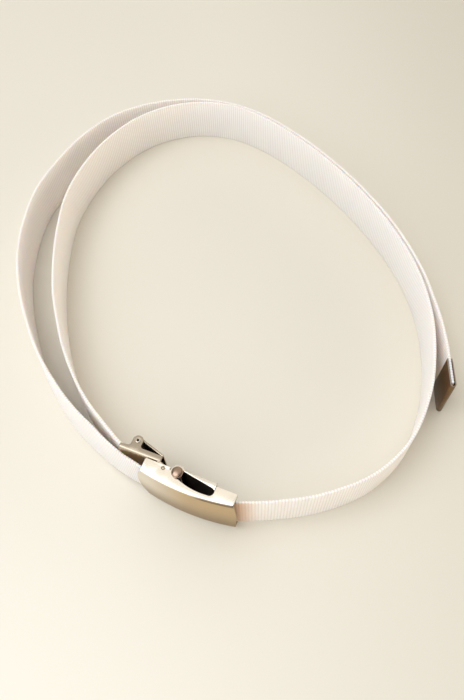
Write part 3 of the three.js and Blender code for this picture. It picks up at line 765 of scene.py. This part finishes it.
def knob_profile(base, up):
    """The knob's section from its bore to its top: a straight skirt, then a quarter of an ellipse."""
    bore = SPIGOT_RADIUS + SPIGOT_GAP
    depth = SPIGOT_LENGTH - KNOB_GAP + SPIGOT_GAP
    turn = np.radians(np.linspace(0, 90, 15))
    height = KNOB_SKIRT + (KNOB_HEIGHT - KNOB_SKIRT) * np.sin(turn)
    dome = np.stack([KNOB_RADIUS * np.cos(turn), height], axis=1)
    inner = np.array([(0, depth), (bore, depth), (bore, 0), (KNOB_RADIUS - EDGE_BREAK, 0)])
    outline = np.vstack([inner, [(KNOB_RADIUS, EDGE_BREAK)], dome])
    return np.stack([outline[:, 0], base + up * outline[:, 1]], axis=1)


def turned_finish(name, colours, roughness, coat=0.0):
    """Polished plate with faint turning marks round the axis and small stains, under a clear coat."""
    metal = Finish(name, metallic=1.0, coat_weight=coat, coat_roughness=0.08)
    place = metal.node("ShaderNodeTexCoord", {}, {}, output=3)
    x, y, z = metal.axes(place)
    marks = metal.noise(metal.node("ShaderNodeCombineXYZ", {}, {0: x * 0.2, 1: y * 0.2, 2: z}), 8000.0, 2.0)
    stain = metal.noise(place, 250.0, 3.0)
    colour = metal.mix(metal.ramp(stain, 0.35, 0.75), *colours)
    rough = marks * 0.1 + stain * 0.1 + roughness
    return metal.feed(base_color=colour, roughness=rough, normal=metal.bump(marks, 0.000003, 0.4))


knob_plate = turned_finish("knob_plate", KNOB_BROWNS, 0.1, 0.7)
upper_knob = turned(
    "bar_knob_upper_dome", BAR_START, knob_profile(CASE_TOP + KNOB_GAP, 1), "bar",
    ["bar_knob_upper"],
)
lower_knob = turned(
    "bar_knob_lower_dome", BAR_START, knob_profile(CASE_BOTTOM - KNOB_GAP, -1), "bar",
    ["bar_knob_lower"],
)
bar_profile = [
    (0, CASE_BOTTOM - SPIGOT_LENGTH),
    (SPIGOT_RADIUS, CASE_BOTTOM - SPIGOT_LENGTH),
    (SPIGOT_RADIUS, CASE_BOTTOM),
    (BAR_RADIUS, CASE_BOTTOM),
    (BAR_RADIUS, CASE_TOP),
    (SPIGOT_RADIUS, CASE_TOP),
    (SPIGOT_RADIUS, CASE_TOP + SPIGOT_LENGTH),
    (0, CASE_TOP + SPIGOT_LENGTH),
]
bar = turned("locking_bar_round", BAR_START, bar_profile, "bar", ["locking_bar"])
for part in (upper_knob, lower_knob, bar):
    part.data.materials.append(knob_plate)

# Strap clip -----------------------------------------------------------------------------------------
# A plated sheet bent to a channel that takes the webbing's first end. Round ears on its sides carry the clamp
# flap's pin, and its near end is rolled round a pin between the case's flanges, on which the clip swings.

CLIP_WALL = 0.8
CLIP_FRONT = 7.75
CLIP_LEFT = -15.5
CLIP_RIGHT = 7.2
CLIP_BOTTOM = 2.75
CLIP_TOP = 35.35
CLIP_BEND = 1.1
SIDE_BACK = 11.2
EAR_RADIUS = 2.7
NECK_FILLET = 1.3
NECK_DROP = 0.3  # how far the back edge falls from the ear's neck to the left end
FLAP_AXIS = np.array([-7.8, 14.32])
FLAP_PIN_RADIUS = 0.8
PIN_GAP = 0.08
HINGE_PIN_RADIUS = 0.9
PIN_END_SHARE = 0.7  # radius of the pin's flat end as a share of its own
PIN_CHAMFER = 0.25
PIN_CROWN = 0.05
ROLL_TURN = 285  # how far round its pin the clip's end is rolled
ROLL_OVERLAP = 1.5
# painted light: a lit and a shaded copy of the clip's colour, and a painted reflection on its tops
CLIP_SATIN_LIT_TO_SHADED = [(0.55, 0.44, 0.33, 1), (0.46, 0.37, 0.28, 1)]
CLIP_PAINTED_REFLECTION = (0.40, 0.345, 0.27, 1)


def raised(name, loops, low, high, body, replaced, edge=EDGE_BREAK):
    """A flat outline, less its holes, between two heights: walls up its loops and a flat cap at each end."""
    points, triangles = filled(loops)
    caps = [np.column_stack([points, np.full(len(points), z)]) for z in (low, high)]
    faces = triangles.tolist() + (triangles + len(points)).tolist()
    parts = list(caps)
    start = 2 * len(points)
    for loop in loops:
        ring = np.arange(len(loop))
        parts += [np.column_stack([loop, np.full(len(loop), z)]) for z in (low, high)]
        beside = np.roll(ring, -1)
        walls = np.stack([ring, beside, beside + len(loop), ring + len(loop)], axis=1) + start
        faces += walls.tolist()
        start += 2 * len(loop)
    made = mesh_piece(name, np.vstack(parts), faces, None)
    shell = bmesh.new()
    shell.from_mesh(made.data)
    bmesh.ops.remove_doubles(shell, verts=shell.verts, dist=WELD * MM)
    bmesh.ops.recalc_face_normals(shell, faces=shell.faces)
    shell.to_mesh(made.data)
    shell.free()
    return edges_broken(made, edge, body, replaced)


def band_outline(path, thickness):
    """The outline of a sheet seen on its edge: a path moved half the thickness to each side."""
    along = np.gradient(path, axis=0)
    along /= np.linalg.norm(along, axis=1)[:, None]
    across = np.stack([-along[:, 1], along[:, 0]], axis=1)
    offset = across * np.asarray(thickness).reshape(-1, 1) / 2
    return np.vstack([path + offset, (path - offset)[::-1]])


def side_plate(x, height):
    """A side of the channel with its ear: the ear's neck meets the back edge in fillets."""
    front_line = np.stack([x, np.full(len(x), CLIP_FRONT + CLIP_BEND)], axis=1)
    neck_right = FLAP_AXIS[0] + EAR_RADIUS
    neck_left = FLAP_AXIS[0] - EAR_RADIUS
    left_back = SIDE_BACK - CLIP_WALL
    outline = np.vstack([
        front_line,
        arc((CLIP_RIGHT - CASE_CORNER, SIDE_BACK - CASE_CORNER), CASE_CORNER, 0, 90, 5),
        arc((neck_right + NECK_FILLET, SIDE_BACK + NECK_FILLET), NECK_FILLET, 270, 180, 6),
        arc(FLAP_AXIS, EAR_RADIUS, 0, 180, 24),
        arc((neck_left - NECK_FILLET, left_back + NECK_FILLET + NECK_DROP), NECK_FILLET, 0, -90, 6),
        arc((CLIP_LEFT + CASE_CORNER, left_back - CASE_CORNER), CASE_CORNER, 90, 180, 5),
    ])
    hole = round_hole(FLAP_AXIS, FLAP_PIN_RADIUS + PIN_GAP)
    points, triangles = filled([outline, hole])
    return np.column_stack([points, np.full(len(points), height)]), triangles


clip_plate = plated("clip_plate", CLIP_SATIN_LIT_TO_SHADED, CLIP_PAINTED_REFLECTION)
clip_x = np.linspace(CLIP_LEFT, CLIP_RIGHT, 25)
clip_face = folded_face(clip_x, lambda x: np.full_like(x, CLIP_FRONT), CLIP_BOTTOM, CLIP_TOP, CLIP_BEND)
finished_sheet(
    "clip_channel",
    [clip_face, side_plate(clip_x, CLIP_TOP), side_plate(clip_x, CLIP_BOTTOM)],
    CLIP_WALL,
    "clip",
    ["clip_base"],
    [clip_plate, inside_painted_shade],
)

# The rolled end starts level with the channel's base and goes round the pin from behind.
roll_radius = HINGE_HOLE + CLIP_WALL / 2
roll_from = np.array([CLIP_RIGHT, CLIP_FRONT + CLIP_WALL / 2])
roll_reach = roll_from - HINGE
roll_touch = math.degrees(
    math.atan2(roll_reach[1], roll_reach[0]) - math.acos(roll_radius / np.linalg.norm(roll_reach))
)
roll_path = np.vstack([
    roll_from - (ROLL_OVERLAP, 0),
    roll_from,
    arc(HINGE, roll_radius, roll_touch, roll_touch - ROLL_TURN, 40),
])
knuckle = raised(
    "clip_knuckle", [band_outline(roll_path, CLIP_WALL)], CLIP_BOTTOM, CLIP_TOP, "clip",
    ["clip_base"],
)
hinge_pin = turned(
    "clip_hinge_pin_round",
    HINGE,
    [
        (0, CASE_BOTTOM - PIN_CROWN),
        (HINGE_PIN_RADIUS * PIN_END_SHARE, CASE_BOTTOM),
        (HINGE_PIN_RADIUS, CASE_BOTTOM + PIN_CHAMFER),
        (HINGE_PIN_RADIUS, CASE_TOP - PIN_CHAMFER),
        (HINGE_PIN_RADIUS * PIN_END_SHARE, CASE_TOP),
        (0, CASE_TOP + PIN_CROWN),
    ],
    "buckle",
    ["clip_hinge_pin"],
)
for part in (knuckle, hinge_pin):
    part.data.materials.append(clip_plate)

# Clamp flap and its pin -------------------------------------------------------------------------------
# A lever whose toothed cam bites the webbing against the channel's base when the flap is pressed down. It
# turns on a tubular rivet, spread over both ears.

FLAP_PIN_HEAD_RADIUS = 1.4
FLAP_PIN_HEAD = 0.4
FLAP_HUB_RADIUS = 2.3
FLAP_WALL = 0.9
FLAP_LENGTH = 14.6
FLAP_TIP_RISE = 1.1
CAM_REACH = 3.85
TOOTH_COUNT = 3
TOOTH_DEPTH = 0.5
CAM_SPREAD = 45
FLAP_SIDE_GAP = 0.3
FLAP_EDGE = 0.1
CLIP_INSIDE = 31
RIVET_BORE = 0.62
RIVET_BORE_DEPTH = 1.2
RIVET_LIP = 0.15
RIVET_METALS = [(0.66, 0.60, 0.51, 1), (0.45, 0.39, 0.32, 1)]
UNDERSIDE = -0.6  # faces that look this far towards the channel's base take the painted shade of the insides

flap_reach = np.array([FLAP_LENGTH, SIDE_BACK + FLAP_TIP_RISE - FLAP_AXIS[1]])
flap_tilt = math.degrees(
    math.atan2(flap_reach[1], flap_reach[0]) - math.asin(FLAP_HUB_RADIUS / np.linalg.norm(flap_reach))
)
flap_length = math.sqrt(np.linalg.norm(flap_reach) ** 2 - FLAP_HUB_RADIUS ** 2)


def flap_point(distance, height):
    """A place along the flap's arm and above the line through its pin."""
    tilt = math.radians(flap_tilt)
    along = np.array([math.cos(tilt), math.sin(tilt)])
    across = np.array([-along[1], along[0]])
    return FLAP_AXIS + along * distance + across * height


def flap_outline():
    """The flap seen from above: round the hub, down one side of the cam, over its teeth, up the other side,
    and out along the arm to a rounded finger edge."""
    inner_meets = math.degrees(math.acos((FLAP_HUB_RADIUS - FLAP_WALL) / FLAP_HUB_RADIUS))
    hub_back = arc(FLAP_AXIS, FLAP_HUB_RADIUS, flap_tilt + 90, 180, 12)
    teeth = []
    for i in range(2 * TOOTH_COUNT + 1):
        turn = math.radians(-90 + CAM_SPREAD * (i / (2 * TOOTH_COUNT) - 0.5))
        radius = CAM_REACH if i % 2 else CAM_REACH - TOOTH_DEPTH
        teeth.append(FLAP_AXIS + radius * np.array([math.cos(turn), math.sin(turn)]))
    hub_front = arc(FLAP_AXIS, FLAP_HUB_RADIUS, 0, flap_tilt + 90 - inner_meets, 4)
    edge_centre = flap_point(flap_length, FLAP_HUB_RADIUS - FLAP_WALL / 2)
    finger_edge = arc(edge_centre, FLAP_WALL / 2, flap_tilt - 90, flap_tilt + 90, 8)
    return np.vstack([hub_back, teeth, hub_front, finger_edge])


clip_middle = (CLIP_BOTTOM + CLIP_TOP) / 2
flap_half = CLIP_INSIDE / 2 - FLAP_SIDE_GAP
flap_hole = round_hole(FLAP_AXIS, FLAP_PIN_RADIUS + PIN_GAP)
flap = raised(
    "clamp_flap_lever", [flap_outline(), flap_hole], clip_middle - flap_half, clip_middle + flap_half,
    "flap", ["clamp_flap"], FLAP_EDGE,
)
for finish in (clip_plate, inside_painted_shade):
    flap.data.materials.append(finish)
# the flap's underside takes the painted shade of the insides
flap_normals = np.empty(3 * len(flap.data.polygons))
flap.data.polygons.foreach_get("normal", flap_normals)
flap_painted_shade_faces = (flap_normals.reshape(-1, 3)[:, 1] < UNDERSIDE).astype(np.int32)
flap.data.polygons.foreach_set("material_index", flap_painted_shade_faces)


def rivet_half(face, up):
    """Half of the rivet's section, from its bore out over the domed head and in to the shank."""
    turn = np.radians(np.linspace(90, 0, 9))
    outer = face + up * (PIN_GAP + FLAP_PIN_HEAD)
    waist = face + up * PIN_GAP
    round_out = FLAP_PIN_HEAD_RADIUS - FLAP_PIN_HEAD + FLAP_PIN_HEAD * np.cos(turn)
    head = np.stack([round_out, waist + up * FLAP_PIN_HEAD * np.sin(turn)], axis=1)
    deep = outer - up * RIVET_BORE_DEPTH
    recess = np.array([(0, deep), (RIVET_BORE, deep), (RIVET_BORE, outer - up * RIVET_LIP)])
    lip = np.array([(RIVET_BORE + RIVET_LIP, outer)])
    shank = np.array([(FLAP_PIN_RADIUS, waist)])
    return np.vstack([recess, lip, head, shank])


rivet = turned(
    "clamp_flap_rivet",
    FLAP_AXIS,
    np.vstack([rivet_half(CLIP_TOP, 1), rivet_half(CLIP_BOTTOM, -1)[::-1]]),
    "clip",
    ["clamp_flap_pin"],
)
rivet_plate = turned_finish("rivet_plate", RIVET_METALS, 0.15)
for finish in (rivet_plate, inside_painted_shade):
    rivet.data.materials.append(finish)
# the rivet's bore takes the painted shade of the insides
rivet_middles = np.empty(3 * len(rivet.data.polygons))
rivet.data.polygons.foreach_get("center", rivet_middles)
rivet_plan = (rivet_middles.reshape(-1, 3)[:, :2] - datum[:2]) / MM
rivet_bore_painted_shade = np.linalg.norm(rivet_plan - FLAP_AXIS, axis=1) < RIVET_BORE + 0.01
rivet.data.polygons.foreach_set("material_index", rivet_bore_painted_shade.astype(np.int32))

# Metal tip ------------------------------------------------------------------------------------------
# A strip of bronze-coloured sheet folded over the webbing's free end and pressed onto it, which keeps the end
# from fraying and guides it through the buckle.

TIP_LENGTH = 17
TIP_WALL = 0.5
TIP_GAP = 0.3
TIP_PRESS = 0.27  # how much closer the walls stand at the tip's mouth
TIP_PRESSED = 4  # how far from its mouth the tip is pressed in
TIP_RIM = 0.35
# the tip's bronze colours are darkened with painted shade reflected from the webbing
TIP_BRONZES_AND_PAINTED_SHADE = [(0.19, 0.122, 0.066, 1), (0.28, 0.182, 0.10, 1)]
TIP_RUBBED = (0.38, 0.31, 0.26, 1)

tip_end = web_middle[-1] + web_along[-1] * (TIP_GAP + TIP_WALL + WEB_THICKNESS)
tip_half = WEB_THICKNESS / 2 + TIP_GAP + TIP_WALL / 2
tip_straight = TIP_LENGTH - tip_half - TIP_WALL / 2
wall_along = np.linspace(0, tip_straight, 13)
pressed = tip_half - TIP_PRESS * np.clip(1 - wall_along / TIP_PRESSED, 0, 1) ** 2
tip_path = np.vstack([
    np.stack([wall_along, -pressed], axis=1),
    arc((tip_straight, 0), tip_half, -80, 80, 16),
    np.stack([wall_along, pressed], axis=1)[::-1],
])
tip_start = tip_end - web_along[-1] * TIP_LENGTH
tip_across = np.array([-web_along[-1][1], web_along[-1][0]])
tip_plan = tip_start + tip_path[:, :1] * web_along[-1] + tip_path[:, 1:] * tip_across
tip = raised(
    "webbing_tip_fold", [band_outline(tip_plan, TIP_WALL)], 0, WEB_WIDTH, "buckle",
    ["webbing_tip"],
)


def tip_bronze_and_painted_shade():
    """Bronze plate, darkened partly by painted shade reflected from the webbing beside it, with cloudy
    tarnish and lighter, rubbed edges.
    """
    metal = Finish("tip_bronze_and_painted_shade", metallic=1.0)
    place = metal.node("ShaderNodeTexCoord", {}, {}, output=3)
    x, y, z = metal.axes(place)
    cloud = metal.noise(place, 160.0, 4.0)
    grain = metal.noise(metal.node("ShaderNodeCombineXYZ", {}, {0: x, 1: y, 2: z * 0.05}), 7000.0, 2.0)
    half = WEB_WIDTH / 2
    wear_and_painted_shade = metal.ramp((z - half * MM).math("ABSOLUTE"), (half - TIP_RIM) * MM, half * MM)
    colour = metal.mix(metal.ramp(cloud, 0.3, 0.75), *TIP_BRONZES_AND_PAINTED_SHADE)
    colour = metal.mix(wear_and_painted_shade, colour, TIP_RUBBED)
    roughness = cloud * 0.15 + grain * 0.1 + 0.22
    return metal.feed(base_color=colour, roughness=roughness, normal=metal.bump(grain, 0.000004, 0.4))


tip.data.materials.append(tip_bronze_and_painted_shade())

# Floor, light and camera ------------------------------------------------------------------------------
# A plain cream satin table top in a pale room: a broad soft light on the near left, bright walls, a lamp's
# glow overhead, a brighter far side of the ceiling, and a dark patch of it over the near edge of the table.

CAMERA_PLACE = np.array([87.7, -73.5, 316.5])
CAMERA_TURN = math.radians(25.134)
CAMERA_PITCH = math.radians(59.09)
CAMERA_ROLL = math.radians(-3.76)
CAMERA_LENS = 31.59
TABLE_CREAMS = [(0.78, 0.75, 0.655, 1), (0.81, 0.78, 0.69, 1)]
# painted shade for the far right of the table top
TABLE_FAR_PAINTED_SHADE = (0.62, 0.585, 0.49, 1)
LEFT_WALL = (1.1, 1.09, 1.09, 1)
RIGHT_WALL = (2.0, 1.76, 1.46, 1)
CEILING = (0.36, 0.345, 0.32, 1)
FAR_CEILING = (1.05, 1.0, 0.92, 1)
LAMP_GLOW = (2.3, 2.3, 2.35, 1)
LAMP_LEAN = 0.36  # how far the lamp is to the left of straight above
DARK_PATCH = (0.05, 0.035, 0.025, 1)

bpy.ops.mesh.primitive_plane_add(size=6, location=(0, 0, 0))
floor = bpy.context.object
floor.name = "table_top"
paint = Finish("table_paint", roughness=0.35, specular_ior_level=0.7)
paint_place = paint.node("ShaderNodeTexCoord", {}, {}, output=3)
paint_x, paint_y, _ = paint.axes(paint_place)
paint_tint = paint.mix(paint.noise(paint_place, 6.0), *TABLE_CREAMS)
# painted shade: the table top darker towards the far right, away from the light
painted_shade_far = paint.ramp(paint_x + paint_y * 0.5, 0.0, 0.3)
paint_tint = paint.mix(painted_shade_far * 0.7, paint_tint, TABLE_FAR_PAINTED_SHADE)
floor.data.materials.append(paint.feed(base_color=paint_tint))

turn_right = Vector((math.cos(CAMERA_TURN), math.sin(CAMERA_TURN), 0))
ahead = Vector((-math.sin(CAMERA_TURN), math.cos(CAMERA_TURN), 0))
look = ahead * math.cos(CAMERA_PITCH) - Vector((0, 0, math.sin(CAMERA_PITCH)))
look_up = turn_right.cross(look)
camera_x = turn_right * math.cos(CAMERA_ROLL) + look_up * math.sin(CAMERA_ROLL)
camera_y = look_up * math.cos(CAMERA_ROLL) - turn_right * math.sin(CAMERA_ROLL)
camera = bpy.data.objects.new("camera", bpy.data.cameras.new("camera"))
bpy.context.scene.collection.objects.link(camera)
camera.data.lens = CAMERA_LENS
camera.data.clip_start = 0.01
camera.matrix_world = Matrix.Translation(datum + CAMERA_PLACE * MM) @ Matrix(
    (camera_x, camera_y, -look)
).transposed().to_4x4()
bpy.context.scene.camera = camera


def soft_light(name, right, forward, height, size, power, colour):
    """A square area light at a place in metres to the camera's right and ahead of it, aimed at the belt."""
    lamp = bpy.data.lights.new(name, "AREA")
    lamp.size = size
    lamp.energy = power
    lamp.color = colour
    made = bpy.data.objects.new(name, lamp)
    bpy.context.scene.collection.objects.link(made)
    place = turn_right * right + ahead * forward + Vector((0, 0, height))
    made.location = place
    made.rotation_euler = (-place).to_track_quat("-Z", "Y").to_euler()


soft_light("window", -0.55, -0.45, 0.9, 1.2, 6.5, (1.0, 1.0, 1.0))


def dot(room, away, direction):
    """The cosine of the angle between where the room is looked at and a direction."""
    return room.node("ShaderNodeVectorMath", {"operation": "DOT_PRODUCT"}, {0: away, 1: direction}, output=1)


def patch(room, away, direction, outer, inner):
    """1 within an angle of a direction, in degrees, 0 outside a wider one, and a smooth fall between them."""
    low = math.cos(math.radians(outer))
    high = math.cos(math.radians(inner))
    return room.ramp(dot(room, away, direction), low, high)


def room_light():
    """Walls that are white on the left and warm on the right, a dimmer ceiling, and its three patches."""
    world = bpy.data.worlds.new("room")
    bpy.context.scene.world = world
    world.use_nodes = True
    room = Nodes(world.node_tree)
    away = room.node("ShaderNodeTexCoord")
    to_right = dot(room, away, turn_right)
    walls = room.mix(room.ramp(to_right, -0.7, 0.7), LEFT_WALL, RIGHT_WALL)
    height = room.axes(away)[2]
    sky = room.mix(room.ramp(height, 0.08, 0.55), walls, CEILING)
    mirrored = look - 2 * look.z * Vector((0, 0, 1))
    sky = room.mix(patch(room, away, mirrored, 42, 16), sky, FAR_CEILING)
    above = (Vector((0, 0, 1)) - turn_right * LAMP_LEAN).normalized()
    sky = room.mix(patch(room, away, above, 26, 14), sky, LAMP_GLOW)
    light = room.mix(patch(room, away, -look, 30, 10), sky, DARK_PATCH)
    room.tree.links.new(light.socket, room.tree.nodes["Background"].inputs["Color"])


room_light()
bpy.context.scene.view_settings.view_transform = "Standard"
